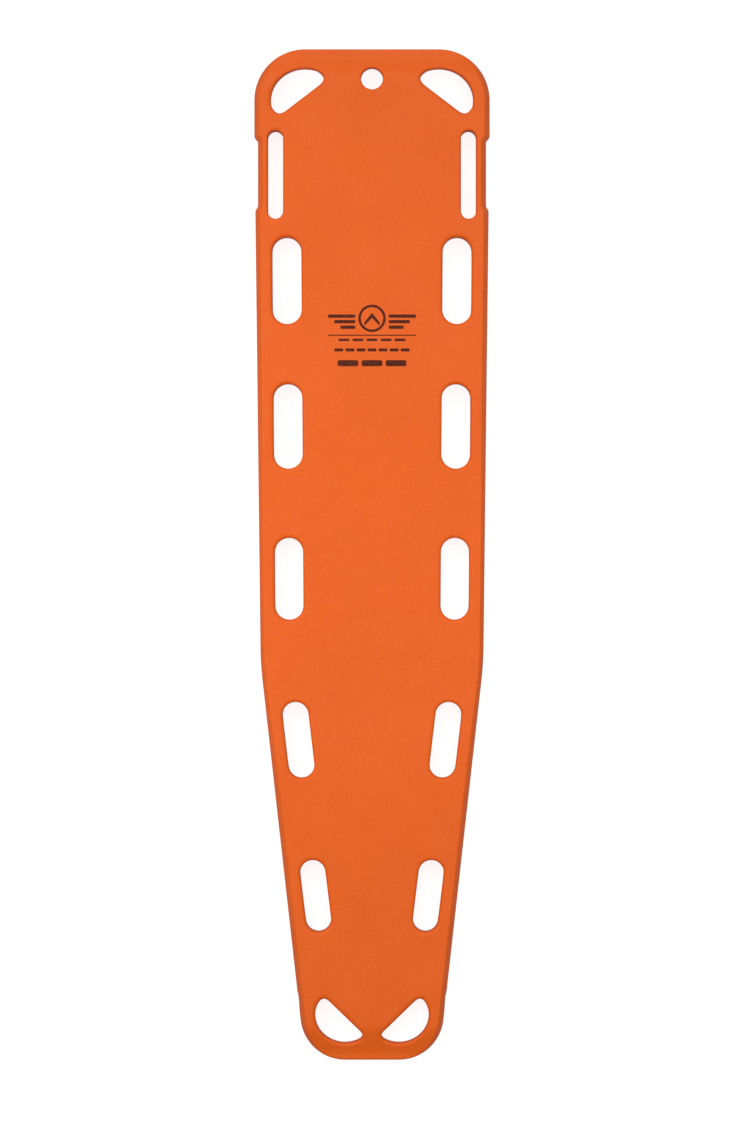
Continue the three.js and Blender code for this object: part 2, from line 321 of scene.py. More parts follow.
def bottom_profile(station):
    """Height of the underside on the board's centre line."""
    from_foot = LENGTH - station
    if station < LENGTH / 2:
        chin = NOSE_BOTTOM - (NOSE_BOTTOM - HEAD_LIFT) * station / CHIN_END
        lift = HEAD_LIFT * (1 - smoothstep(*HEAD_STEP, station))
    else:
        chin = NOSE_BOTTOM - (NOSE_BOTTOM - FOOT_LIFT) * from_foot / CHIN_END
        lift = FOOT_LIFT * (1 - smoothstep(*FOOT_STEP, from_foot))
    return soft_max(chin, lift + ARCH_DEPTH * swell(station, ARCH_STATIONS), CHIN_EASE)


def scoop_depth(x, station):
    """How deep the finger scoops under the rails are at a point in plan."""
    depth = 0.0
    for hold in HAND_HOLDS:
        lean = math.radians(hold["lean"])
        across = abs(x) - hold["offset"]
        down = station - hold["station"]
        u = -across * math.sin(lean) + down * math.cos(lean)
        v = across * math.cos(lean) + down * math.sin(lean)
        if v < 0:
            continue
        middle = hold["width"] / 2 + RAIL_HALF_WIDTH
        bulge = SCOOP_BULGE * max(0.0, 1 - ((v - middle) / RAIL_HALF_WIDTH) ** 2)
        half = SCOOP_SHARE * hold["length"] / 2 - bulge
        depth = max(depth, SCOOP_DEPTH * (1 - smoothstep(half - SCOOP_RAMP, half, abs(u))))
    return depth


# ---- Plan loops ----


def arc(cx, cy, radius, start, end, steps):
    """Points of an arc between two angles in degrees."""
    angles = [math.radians(start + (end - start) * i / steps) for i in range(steps + 1)]
    return [(cx + radius * math.cos(a), cy + radius * math.sin(a)) for a in angles]


def curve_through(start, control, end, steps=CURVE_STEPS):
    """Points of a quadratic curve."""
    points = []
    for i in range(steps + 1):
        t = i / steps
        weights = ((1 - t) ** 2, 2 * t * (1 - t), t * t)
        points.append(
            tuple(sum(w * p[k] for w, p in zip(weights, (start, control, end))) for k in (0, 1))
        )
    return points


def eased_corners(points, ease):
    """An open line with each inner corner replaced by a short curve."""
    line = [points[0]]
    for before, corner, after in zip(points, points[1:], points[2:]):
        ends = []
        for other in (before, after):
            away = Vector(other) - Vector(corner)
            reach = min(ease, away.length / 2)
            ends.append(tuple(Vector(corner) + away.normalized() * reach))
        line += curve_through(ends[0], corner, ends[1])
    return line + [points[-1]]


def along(station):
    """A station's place on Y."""
    return LENGTH / 2 - station


def outline_line():
    """The right half of the outline, from the middle of the head end to the middle of the foot end."""
    tangent_x = FOOT_HALF_FLAT + FOOT_RADIUS * math.cos(TAPER_ANGLE)
    tangent_station = LENGTH - FOOT_RADIUS + FOOT_RADIUS * math.sin(TAPER_ANGLE)

    def on_taper(station):
        return tangent_x + (tangent_station - station) * math.tan(TAPER_ANGLE)

    knee_x = on_taper(KNEE_STATION)
    fall = (SHOULDER_HALF_WIDTH - knee_x) / (KNEE_STATION - NOTCH_END)
    notch_x = HEAD_HALF_WIDTH - NOTCH_DEPTH
    notch = eased_corners(
        [
            (HEAD_HALF_WIDTH, along(HEAD_RADIUS + NOTCH_LEAD)),
            (HEAD_HALF_WIDTH, along(NOTCH_START)),
            (notch_x, along(NOTCH_START + NOTCH_RAMP)),
            (notch_x, along(NOTCH_END - NOTCH_RAMP)),
            (SHOULDER_HALF_WIDTH, along(NOTCH_END)),
            (knee_x + fall * KNEE_EASE, along(KNEE_STATION - KNEE_EASE)),
        ],
        NOTCH_ROUND,
    )
    knee = curve_through(
        (knee_x + fall * KNEE_EASE, along(KNEE_STATION - KNEE_EASE)),
        (knee_x, along(KNEE_STATION)),
        (on_taper(KNEE_STATION + KNEE_EASE), along(KNEE_STATION + KNEE_EASE)),
    )
    head_x = HEAD_HALF_WIDTH - HEAD_RADIUS
    head = arc(head_x, along(HEAD_RADIUS), HEAD_RADIUS, 90, 0, ROUND_STEPS)
    foot_start = -math.degrees(TAPER_ANGLE)
    foot_y = along(LENGTH - FOOT_RADIUS)
    foot = arc(FOOT_HALF_FLAT, foot_y, FOOT_RADIUS, foot_start, -90, ROUND_STEPS)
    return [(0, along(0))] + head + notch + knee[1:] + foot + [(0, along(LENGTH))]


def slot_loop(hole):
    """A slot with full round ends, on the right side."""
    radius = hole["width"] / 2
    reach = hole["length"] / 2 - radius
    loop = arc(0, reach, radius, 0, 180, SLOT_STEPS)
    loop += arc(0, -reach, radius, 180, 360, SLOT_STEPS)
    turn = -math.radians(hole["lean"])
    cos, sin = math.cos(turn), math.sin(turn)
    x0, y0 = hole["offset"], along(hole["station"])
    return [(x0 + x * cos - y * sin, y0 + x * sin + y * cos) for x, y in loop]


def handle_loop(hole):
    """A corner handle: part of an ellipse closed by a straight edge, with eased tips."""
    first, last = hole["angles"]
    from_tip, to_tip = hole["tip_angles"]

    def on_circle(angle):
        return Vector((math.cos(math.radians(angle)), math.sin(math.radians(angle))))

    a, b = on_circle(first), on_circle(last)
    start = a.lerp(b, hole["tip_shares"][0])
    finish = b.lerp(a, hole["tip_shares"][1])
    loop = curve_through(start, a, on_circle(first + from_tip), TIP_STEPS)
    loop += arc(0, 0, 1, first + from_tip, last - to_tip, ROUND_STEPS)[1:]
    loop += curve_through(on_circle(last - to_tip), b, finish, TIP_STEPS)[1:]
    (cx, cs), (rx, ry) = hole["centre"], hole["radii"]
    return [(cx + rx * x, along(cs) + ry * y) for x, y in loop]


def pin_hole_line():
    """The right half of the round hole, from its foot side to its head side."""
    return arc(0, along(PIN_HOLE["station"]), PIN_HOLE["radius"], -90, 90, SLOT_STEPS)


def fine_here(y):
    """True where the outline has small features and needs close points."""
    station = LENGTH / 2 - y
    windows = (
        (NOTCH_START - FINE_MARGIN, NOTCH_START + FINE_RUN),
        (NOTCH_END - FINE_RUN, NOTCH_END + FINE_MARGIN),
        (SIDE_STEP_STATION - FINE_MARGIN, SIDE_STEP_STATION + 2 * FINE_MARGIN),
    )
    return any(low < station < high for low, high in windows)


def resampled(line, closed, spacing_at):
    """The line with its points spread evenly, at a spacing that may depend on the place."""
    points = [Vector(p) for p in (line + [line[0]] if closed else line)]
    points = [points[0]] + [q for p, q in zip(points, points[1:]) if (q - p).length > TINY]
    lengths = np.array([0.0] + [(q - p).length for p, q in zip(points, points[1:])]).cumsum()
    dense = np.linspace(0, lengths[-1], int(lengths[-1] / DENSE_SPACING))
    xs = np.interp(dense, lengths, [p.x for p in points])
    ys = np.interp(dense, lengths, [p.y for p in points])
    weights = np.array([1 / spacing_at(y) for y in ys])
    count = np.concatenate([[0], ((weights[1:] + weights[:-1]) / 2 * np.diff(dense)).cumsum()])
    steps = max(FEWEST_STEPS, round(count[-1]))
    places = np.interp(np.linspace(0, count[-1], steps + 1), count, dense)
    if closed:
        places = places[:-1]
    return np.stack([np.interp(places, dense, xs), np.interp(places, dense, ys)], axis=1)


def normals_of(points, closed, smoothings=0):
    """Unit normals to the left of the line's direction, optionally averaged with their neighbours."""
    if closed:
        tangent = np.roll(points, -1, 0) - np.roll(points, 1, 0)
    else:
        tangent = np.gradient(points, axis=0)
    normal = np.stack([-tangent[:, 1], tangent[:, 0]], axis=1)
    normal /= np.linalg.norm(normal, axis=1, keepdims=True)
    for _ in range(smoothings):
        if closed:
            normal = (np.roll(normal, 1, 0) + 2 * normal + np.roll(normal, -1, 0)) / 4
        else:
            normal[1:-1] = (normal[:-2] + 2 * normal[1:-1] + normal[2:]) / 4
    normal /= np.linalg.norm(normal, axis=1, keepdims=True)
    if not closed:
        normal[0] = (0, np.sign(normal[0][1]))
        normal[-1] = (0, np.sign(normal[-1][1]))
    return normal


# ---- The plan mesh of the right half, then of the whole board ----


class Plan:
    """Points in plan with their distance from the nearest edge, the faces between them and the borders."""

    def __init__(self):
        self.points = []
        self.edge = []
        self.rim = []
        self.fillet = []
        self.normal = []
        self.faces = []
        self.borders = []

    def add_point(self, point, edge=FAR, rim=FAR, fillet=1.0, normal=(0.0, 0.0)):
        """A point with its distances from the outline and from a hole's rim; returns its number."""
        self.points.append((float(point[0]), float(point[1])))
        self.edge.append(edge)
        self.rim.append(rim)
        self.fillet.append(fillet)
        self.normal.append((float(normal[0]), float(normal[1])))
        return len(self.points) - 1

    def add_face(self, face):
        """A face, turned to run anticlockwise."""
        area = 0.0
        for i, j in zip(face, face[1:] + face[:1]):
            area += self.points[i][0] * self.points[j][1] - self.points[j][0] * self.points[i][1]
        self.faces.append(tuple(face) if area > 0 else tuple(reversed(face)))

    def add_rings(self, points, normals, distances, closed, fillet=None):
        """Rows of points at growing distances from a border; returns the last row."""
        rows = []
        for distance in distances:
            row = []
            for point, normal in zip(points, normals):
                place = point + normal * distance
                if fillet is None:
                    row.append(self.add_point(place, edge=distance, normal=-normal))
                else:
                    row.append(self.add_point(place, rim=distance, fillet=fillet))
            if not closed:
                for end in (row[0], row[-1]):
                    self.points[end] = (0.0, self.points[end][1])
            rows.append(row)
        for outer, inner in zip(rows, rows[1:]):
            pairs = list(zip(range(len(outer)), range(1, len(outer))))
            if closed:
                pairs.append((len(outer) - 1, 0))
            for i, j in pairs:
                self.add_face([outer[i], outer[j], inner[j], inner[i]])
        self.borders.append((rows[0], closed, fillet is None))
        return rows[-1]

    def mirrored(self):
        """The whole board: this half and its mirror image, sharing the points on the centre line."""
        twin = {}
        for i, (x, y) in enumerate(list(self.points)):
            if abs(x) < TINY:
                twin[i] = i
            else:
                nx, ny = self.normal[i]
                twin[i] = self.add_point(
                    (-x, y), self.edge[i], self.rim[i], self.fillet[i], (-nx, ny)
                )
        self.faces += [tuple(twin[i] for i in reversed(face)) for face in self.faces]
        for row, closed, is_edge in list(self.borders):
            self.borders.append(([twin[i] for i in row], closed, is_edge))
        return self


def fillet_distances(radius):
    """Distances from a rim for rows of points evenly spaced round its fillet, and one row past it."""
    steps = [math.radians(90 * i / FILLET_STEPS) for i in range(FILLET_STEPS + 1)]
    return [radius * (1 - math.cos(a)) for a in steps] + [radius + RIM_MARGIN]


def grid_points():
    """Points to fill the faces with: close ones in the noses and along the scooped rails."""
    points = []
    nose = HEAD_STEP[1] + GRID_MARGIN
    station = NOSE_GRID
    while station < LENGTH:
        from_end = min(station, LENGTH - station)
        step = NOSE_GRID if from_end < nose else GRID_SPACING
        odd = len(points) % 2
        shift = step / 2 * odd
        for x in np.arange(GRID_SPACING + shift, HEAD_HALF_WIDTH, GRID_SPACING):
            points.append((x, along(station)))
        station += step
    for hold in HAND_HOLDS:
        reach = SCOOP_SHARE * hold["length"] / 2 + GRID_MARGIN
        lean = math.radians(hold["lean"])
        rim = hold["width"] / 2
        for u in np.arange(-reach, reach, FINE_GRID):
            for v in np.arange(rim, rim + 3 * RAIL_HALF_WIDTH, FINE_GRID):
                x = hold["offset"] + v * math.cos(lean) - u * math.sin(lean)
                points.append((x, along(hold["station"] + v * math.sin(lean) + u * math.cos(lean))))
    return np.array(points)


def inside(points, loop):
    """Which points lie inside a closed loop."""
    result = np.zeros(len(points), bool)
    for a, b in zip(loop, np.roll(loop, -1, 0)):
        if a[1] == b[1]:
            continue
        crosses = (a[1] > points[:, 1]) != (b[1] > points[:, 1])
        x = (b[0] - a[0]) * (points[:, 1] - a[1]) / (b[1] - a[1]) + a[0]
        result ^= crosses & (points[:, 0] < x)
    return result


def clear_of(points, others, distance):
    """Which points are at least a distance from every one of the others."""
    keep = np.ones(len(points), bool)
    for other in others:
        near = np.abs(points - other).max(axis=1) < distance
        keep &= ~near
    return keep


def thinned(points, distance):
    """The points without those that come too close to an earlier one."""
    seen = {}
    kept = []
    for x, y in points:
        cell = (int(x // distance), int(y // distance))
        near = [
            other
            for i in (-1, 0, 1)
            for j in (-1, 0, 1)
            for other in seen.get((cell[0] + i, cell[1] + j), ())
        ]
        if all(math.hypot(x - p, y - q) >= distance for p, q in near):
            seen.setdefault(cell, []).append((x, y))
            kept.append((x, y))
    return np.array(kept)


def fill(plan, border, hole_rows):
    """Triangles between the border and the holes, over the grid's points."""
    places = np.array(plan.points)
    loop = places[border]
    grid = grid_points()
    grid = grid[inside(grid, loop)]
    for row in hole_rows:
        grid = grid[~inside(grid, places[row])]
    fixed = np.concatenate([loop] + [places[row] for row in hole_rows])
    grid = grid[clear_of(grid, fixed, CLEARANCE)]
    scattered = thinned(grid[::-1], CLEARANCE)
    start = len(plan.points)
    for point in scattered:
        plan.add_point(point)
    used = list(border) + [i for row in hole_rows for i in row]
    used += list(range(start, len(plan.points)))
    local = {index: n for n, index in enumerate(used)}
    edges = []
    owner = {}
    for number, row in enumerate([border] + hole_rows):
        for i, j in zip(row, row[1:] + row[:1]):
            edges.append((local[i], local[j]))
        if number:
            owner.update({i: number for i in row})
    coordinates = [Vector(plan.points[i]) for i in used]
    verts, _, faces, origins, _, _ = delaunay_2d_cdt(coordinates, edges, [], 1, FILL_TOLERANCE)
    back = []
    for vert, origin in zip(verts, origins):
        back.append(used[origin[0]] if origin else plan.add_point(vert))
    for face in faces:
        corners = [back[i] for i in face]
        owners = {owner.get(i) for i in corners}
        if len(owners) == 1 and None not in owners:
            continue
        plan.add_face(corners)


def make_plan():
    """The board's plan mesh: rows beside the outline and round every hole, then the faces between."""
    plan = Plan()
    line = resampled(
        outline_line(), False, lambda y: FINE_SPACING if fine_here(y) else LOOP_SPACING
    )
    inwards = -normals_of(line, False, smoothings=EDGE_SMOOTHINGS)
    border = plan.add_rings(line, inwards, EDGE_RINGS, closed=False)
    pin = resampled(pin_hole_line(), False, lambda y: LOOP_SPACING)
    outwards = -normals_of(pin, False)
    rim = plan.add_rings(
        pin, outwards, fillet_distances(PIN_HOLE["fillet"]), False, PIN_HOLE["fillet"]
    )
    hole_rows = []
    slots = [(slot_loop(hole), hole["fillet"]) for hole in [STRAP_SLOT] + HAND_HOLDS]
    handles = [(handle_loop(hole), hole["fillet"]) for hole in (HEAD_HANDLE, FOOT_HANDLE)]
    for loop, fillet in slots + handles:
        points = resampled(loop, True, lambda y: HOLE_SPACING)
        hole_rows.append(
            plan.add_rings(
                points, -normals_of(points, True), fillet_distances(fillet), True, fillet
            )
        )
    axis = []
    bottom, top = plan.points[border[-1]][1], plan.points[rim[0]][1]
    for y in np.arange(bottom + GRID_SPACING, top - GRID_SPACING / 2, GRID_SPACING):
        axis.append(plan.add_point((0.0, y)))
    bottom, top = plan.points[rim[-1]][1], plan.points[border[0]][1]
    gap_places = np.linspace(bottom, top, CENTRE_GAP_STEPS + 1)[1:-1]
    gap = [plan.add_point((0.0, y)) for y in gap_places]
    fill(plan, border + axis + rim + gap, hole_rows)
    return plan.mirrored()


# ---- Shells ----


def side_step(station, height):
    """How far the edge is taken in past the faint step near the foot."""
    start = SIDE_STEP_STATION + SIDE_STEP_BOW * ((height - BOW_HEIGHT) / BOW_HALF_HEIGHT) ** 2
    rise = smoothstep(start - SIDE_STEP_RAMP, start + SIDE_STEP_RAMP, station)
    fade = smoothstep(start + SIDE_STEP_RUN, SIDE_STEP_FADE, station)
    return SIDE_STEP_DEPTH * rise * (1 - fade)


def edge_lean(distance):
    """How far the leaning edge has risen at a distance inside the outline, past its crease."""
    return EDGE_SLOPE * distance - CREASE_DROP * math.exp(-distance / CREASE_WIDTH)


def patient_side_height(plan, i):
    """The height of the upper skin at a point of the plan."""
    height = top_profile(LENGTH / 2 - plan.points[i][1])
    if plan.edge[i] < FAR:
        ease = FACE_EASE if height > THICKNESS - TOP_FACE_BAND else NOSE_EASE
        height = soft_min(BAND_HIGH + edge_lean(plan.edge[i]), height, ease)
    return height - fillet_drop(plan, i)


def underside_height(plan, i):
    """The height of the lower skin at a point of the plan."""
    x, y = plan.points[i]
    station = LENGTH / 2 - y
    height = bottom_profile(station) + scoop_depth(x, station)
    if plan.edge[i] < FAR:
        ease = FACE_EASE if height < BOTTOM_FACE_BAND else NOSE_EASE
        height = soft_max(BAND_LOW - edge_lean(plan.edge[i]), height, ease)
    return height + fillet_drop(plan, i)


def fillet_drop(plan, i):
    """How far a hole's rounded rim takes the skin away from its face at a point of the plan."""
    radius = plan.fillet[i]
    if plan.rim[i] >= radius:
        return 0.0
    return radius - math.sqrt(max(radius**2 - (radius - plan.rim[i]) ** 2, 0.0))


def place(plan, i, height):
    """A point's position in metres, with the faint side step taken off the edge."""
    x, y = plan.points[i]
    if plan.edge[i] < FAR:
        share = 1 - plan.edge[i] / EDGE_RINGS[-1]
        step = side_step(LENGTH / 2 - y, height) * share
        nx, ny = plan.normal[i]
        x, y = x - nx * step, y - ny * step
    return Vector((x, y, height)) * MM


def wall_heights(start, end):
    """Heights down a wall from a rim to the parting line, close together next to the rim."""
    return [start + (end - start) * share for share in WALL_SHARES]


def skin(plan, height_of, seam):
    """One shell's outer skin as a bmesh, open at the parting line."""
    bm = bmesh.new()
    heights = [height_of(plan, i) for i in range(len(plan.points))]
    verts = [bm.verts.new(place(plan, i, heights[i])) for i in range(len(plan.points))]
    for face in plan.faces:
        bm.faces.new([verts[i] for i in face])
    columns = {}

    def column(i):
        if i not in columns:
            levels = wall_heights(heights[i], seam)
            columns[i] = [verts[i]] + [bm.verts.new(place(plan, i, level)) for level in levels]
        return columns[i]

    for row, closed, _ in plan.borders:
        for i, j in zip(row, row[1:] + (row[:1] if closed else [])):
            left, right = column(i), column(j)
            for k in range(len(left) - 1):
                bm.faces.new([left[k], right[k], right[k + 1], left[k + 1]])
    loose = [v for v in bm.verts if not v.link_faces]
    bmesh.ops.delete(bm, geom=loose, context="VERTS")
    bmesh.ops.recalc_face_normals(bm, faces=bm.faces)
    return bm


def shell(plan, name, height_of, seam, facing):
    """A whole shell: its skin given a wall inwards, which stops at the seam, with smooth shading."""
    bm = skin(plan, height_of, seam)
    flat = sum(face.normal.z * face.calc_area() for face in bm.faces)
    if flat * facing < 0:
        bmesh.ops.reverse_faces(bm, faces=bm.faces)
    mesh = bpy.data.meshes.new(name)
    bm.to_mesh(mesh)
    bm.free()
    piece = bpy.data.objects.new(name, mesh)
    bpy.context.collection.objects.link(piece)
    wall = piece.modifiers.new("wall", "SOLIDIFY")
    wall.thickness = SHELL_WALL * MM
    wall.offset = -1
    wall.use_rim = True
    depsgraph = bpy.context.evaluated_depsgraph_get()
    solid = bpy.data.meshes.new_from_object(piece.evaluated_get(depsgraph))
    piece.modifiers.clear()
    piece.data = solid
    bpy.data.meshes.remove(mesh)
    solid.name = name
    limit = max if facing > 0 else min
    for vertex in solid.vertices:
        vertex.co.z = limit(vertex.co.z, seam * MM)
    solid.shade_smooth()
    solid.set_sharp_from_angle(angle=SHARP_ANGLE)
    return piece


# ---- Plugs ----


def turned_piece(name, profile, sides, place_at, facing):
    """A round piece turned about the board's length axis from [radius, distance out] pairs."""
    bm = bmesh.new()
    rings = []
    for radius, out in profile:
        if radius == 0:
            rings.append([bm.verts.new(Vector((0, out, 0)))])
            continue
        ring = []
        for k in range(sides):
            angle = 2 * math.pi * k / sides
            ring.append(bm.verts.new(Vector((radius * math.cos(angle), out, radius * math.sin(angle)))))
        rings.append(ring)
    for a, b in zip(rings, rings[1:]):
        for k in range(sides):
            j = (k + 1) % sides
            corners = [a[k % len(a)], a[j % len(a)], b[j % len(b)], b[k % len(b)]]
            unique = list(dict.fromkeys(corners))
            bm.faces.new(unique)
    bmesh.ops.recalc_face_normals(bm, faces=bm.faces)
    for vert in bm.verts:
        vert.co = (Vector((vert.co.x, vert.co.y * facing, vert.co.z)) * MM) + place_at
    if facing < 0:
        bmesh.ops.reverse_faces(bm, faces=bm.faces)
    mesh = bpy.data.meshes.new(name)
    bm.to_mesh(mesh)
    bm.free()
    mesh.shade_smooth()
    mesh.set_sharp_from_angle(angle=SHARP_ANGLE)
    piece = bpy.data.objects.new(name, mesh)
    bpy.context.collection.objects.link(piece)
    return piece


def plug(name, node, facing):
    """A spin-welded plug with a domed, grooved head flush with the end face."""
    low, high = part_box(node)
    radius = (high.x - low.x) / 2 / MM
    length = (high.y - low.y) / MM
    centre = (low + high) / 2
    end = Vector((centre.x, high.y if facing > 0 else low.y, centre.z))
    profile = [(radius * share, out) for share, out in PLUG_HEAD]
    profile += [
        (radius * PLUG_STEM_SHARE, -PLUG_HEAD_DEPTH),
        (radius * PLUG_STEM_SHARE, -length + PLUG_TIP_LENGTH),
        (radius * PLUG_TIP_SHARE, -length),
        (0, -length),
    ]
    return turned_piece(name, profile, PLUG_SIDES, end, facing)


# ---- The printed mark ----


def raised_rings(loop):
    """The loop twice: at the ink's underside and at its top."""
    low = THICKNESS + INK_LIFT
    high = THICKNESS + INK_LIFT + INK_THICKNESS
    return [[Vector((x, y, height)) * MM for x, y in loop] for height in (low, high)]


def ink_patch(bm, loop):
    """A thin raised patch of ink over a flat part of the patient side."""
    lower, upper = [[bm.verts.new(p) for p in ring] for ring in raised_rings(loop)]
    bm.faces.new(upper)
    bm.faces.new(list(reversed(lower)))
    for i in range(len(loop)):
        j = (i + 1) % len(loop)
        bm.faces.new([lower[i], lower[j], upper[j], upper[i]])


def ink_ring(bm, outer, inner):
    """A thin raised ring of ink between two loops with as many points each."""
    outer_low, outer_high = raised_rings(outer)
    inner_low, inner_high = raised_rings(inner)
    rings = (outer_low, outer_high, inner_high, inner_low)
    rows = [[bm.verts.new(p) for p in ring] for ring in rings]
    for row, following in zip(rows, rows[1:] + rows[:1]):
        for i in range(len(outer)):
            j = (i + 1) % len(outer)
            bm.faces.new([row[i], row[j], following[j], following[i]])


def bar_loop(x0, x1, y0, y1):
    """A flat bar with rounded corners."""
    radius = min(x1 - x0, y1 - y0) / 2 * BAR_ROUNDING
    loop = []
    for cx, cy, start in (
        (x1 - radius, y1 - radius, 0),
        (x0 + radius, y1 - radius, 90),
        (x0 + radius, y0 + radius, 180),
        (x1 - radius, y0 + radius, 270),
    ):
        loop += arc(cx, cy, radius, start, start + 90, BAR_STEPS)
    return loop


def chevron_loop(y, reach, arm):
    """An arrowhead pointing towards the head end."""
    foot = y - reach * CHEVRON_FOOT
    tip = y + reach * CHEVRON_TIP
    upper = [(-reach, foot), (0, tip), (reach, foot)]
    lower = [(reach, foot - arm), (0, tip - arm * CHEVRON_POINT), (-reach, foot - arm)]
    return upper + lower


def dash_row(bm, share, top, thick, count, gap):
    """A row of plain dashes across a share of the mark's width."""
    pitch = 2 * MARK_HALF_WIDTH * share / count
    for k in range(count):
        x0 = -MARK_HALF_WIDTH * share + k * pitch
        ink_patch(bm, bar_loop(x0 + gap / 2, x0 + pitch - gap / 2, top - thick, top))


def printed_mark():
    """A generic mark: a ring with an arrowhead towards the head end, over plain bars and dashes."""
    bm = bmesh.new()
    height = MARK_BOTTOM - MARK_TOP
    top = along(MARK_TOP)
    ring_radius = height * RING_SHARE
    ring_y = top - ring_radius
    outer = arc(0, ring_y, ring_radius, 0, 360, RING_STEPS)[:-1]
    inner = arc(0, ring_y, ring_radius - RING_WIDTH, 0, 360, RING_STEPS)[:-1]
    ink_ring(bm, outer, inner)
    ink_patch(bm, chevron_loop(ring_y, ring_radius * CHEVRON_SHARE, CHEVRON_ARM))
    for side in (-1, 1):
        for k, share in enumerate(WING_SHARES):
            root = side * MARK_HALF_WIDTH * WING_ROOT
            x0, x1 = sorted((root, side * MARK_HALF_WIDTH * share))
            y1 = ring_y + WING_PITCH * (WING_TOP - k)
            ink_patch(bm, bar_loop(x0, x1, y1 - WING_THICKNESS, y1))
    for share, drop, thick, count, gap in MARK_ROWS:
        dash_row(bm, share, top - height * drop, thick, count, gap)
    bmesh.ops.recalc_face_normals(bm, faces=bm.faces)
    mesh = bpy.data.meshes.new("printed_mark")
    bm.to_mesh(mesh)
    bm.free()
    piece = bpy.data.objects.new("printed_mark", mesh)
    bpy.context.collection.objects.link(piece)
    return piece


# ---- Materials ----


def new_material(name):
    """A material with its node tree, Principled shader and object coordinates."""
    material = bpy.data.materials.new(name)
    material.use_nodes = True
    tree = material.node_tree
    shader = tree.nodes["Principled BSDF"]
    coordinates = tree.nodes.new("ShaderNodeTexCoord").outputs["Object"]
    return material, tree, shader, coordinates


def noise_of(tree, coordinates, scale, detail=2.0, roughness=0.5, stretch=(1, 1, 1)):
    """Noise from 0 to 1; a larger scale makes it finer, and a stretch is a scale for each axis."""
    mapping = tree.nodes.new("ShaderNodeMapping")
    mapping.inputs["Scale"].default_value = stretch
    tree.links.new(coordinates, mapping.inputs["Vector"])
    texture = tree.nodes.new("ShaderNodeTexNoise")
    texture.inputs["Scale"].default_value = scale
    texture.inputs["Detail"].default_value = detail
    texture.inputs["Roughness"].default_value = roughness
    tree.links.new(mapping.outputs["Vector"], texture.inputs["Vector"])
    return texture.outputs["Fac"]


def ranged(tree, value, low, high, to_low, to_high):
    """A value with its range from low to high turned into another range, and held within it."""
    node = tree.nodes.new("ShaderNodeMapRange")
    node.inputs["From Min"].default_value = low
    node.inputs["From Max"].default_value = high
    node.inputs["To Min"].default_value = to_low
    node.inputs["To Max"].default_value = to_high
    tree.links.new(value, node.inputs["Value"])
    return node.outputs["Result"]


def added(tree, a, b):
    """The sum of two values."""
    node = tree.nodes.new("ShaderNodeMath")
    node.operation = "ADD"
    tree.links.new(a, node.inputs[0])
    tree.links.new(b, node.inputs[1])
    return node.outputs["Value"]


def mixed(tree, factor, a, b):
    """A colour between a and b, each of them a colour or another node's output."""
    node = tree.nodes.new("ShaderNodeMix")
    node.data_type = "RGBA"
    tree.links.new(factor, node.inputs["Factor"])
    for socket, value in ((node.inputs["A"], a), (node.inputs["B"], b)):
        if isinstance(value, tuple):
            socket.default_value = (*value, 1.0)
        else:
            tree.links.new(value, socket)
    return node.outputs["Result"]


def bumped(tree, layers):
    """Bump nodes in a chain, one for each (height, distance, strength)."""
    normal = None
    for height, distance, strength in layers:
        node = tree.nodes.new("ShaderNodeBump")
        node.inputs["Distance"].default_value = distance
        node.inputs["Strength"].default_value = strength
        tree.links.new(height, node.inputs["Height"])
        if normal is not None:
            tree.links.new(normal, node.inputs["Normal"])
        normal = node.outputs["Normal"]
    return normal


def board_material():
    """Moulded orange polyethylene: mottling, speckle, orange peel, faint scuffs and paler worn edges."""
    material, tree, shader, coordinates = new_material("board_hdpe")
    mottle = noise_of(tree, coordinates, 9, detail=3, roughness=0.6)
    speckle = noise_of(tree, coordinates, 420, detail=2, roughness=0.7)
    base = mixed(tree, ranged(tree, mottle, 0.3, 0.7, 0, 1), *BOARD_ORANGES)
    base = mixed(tree, ranged(tree, speckle, 0.42, 0.62, 0, 0.55), base, SPECKLE_ORANGE)
    pointed = tree.nodes.new("ShaderNodeNewGeometry").outputs["Pointiness"]
    worn = ranged(tree, pointed, 0.52, 0.60, 0, 0.22)
    base = mixed(tree, worn, base, WORN_ORANGE)
    tree.links.new(base, shader.inputs["Base Color"])

    scuffs = noise_of(tree, coordinates, 55, detail=5, roughness=0.7, stretch=(4, 0.25, 4))
    scuffed = ranged(tree, scuffs, 0.58, 0.72, 0, 0.16)
    gloss = ranged(tree, noise_of(tree, coordinates, 14, detail=4), 0.3, 0.7, 0.27, 0.39)
    tree.links.new(added(tree, gloss, scuffed), shader.inputs["Roughness"])

    peel = noise_of(tree, coordinates, 260, detail=1.5)
    waves = noise_of(tree, coordinates, 22, detail=1)
    grain = noise_of(tree, coordinates, 1500, detail=1)
    normal = bumped(
        tree,
        [(waves, 0.0009, 0.35), (peel, 0.0002, 0.35), (grain, 0.00004, 0.4)],
    )
    tree.links.new(normal, shader.inputs["Normal"])
    shader.inputs["Specular IOR Level"].default_value = 0.15
    return material


def plug_material():
    """Duller, redder polyethylene, as turned plugs are."""
    material, tree, shader, coordinates = new_material("plug_hdpe")
    tint = ranged(tree, noise_of(tree, coordinates, 160, detail=3), 0.3, 0.7, 0, 1)
    base = mixed(tree, tint, *PLUG_ORANGES)
    tree.links.new(base, shader.inputs["Base Color"])
    rough = ranged(tree, noise_of(tree, coordinates, 420, detail=3), 0.3, 0.7, 0.35, 0.55)
    tree.links.new(rough, shader.inputs["Roughness"])
    normal = bumped(tree, [(noise_of(tree, coordinates, 900, detail=2), 0.00008, 0.4)])
    tree.links.new(normal, shader.inputs["Normal"])
    shader.inputs["Specular IOR Level"].default_value = 0.35
    return material


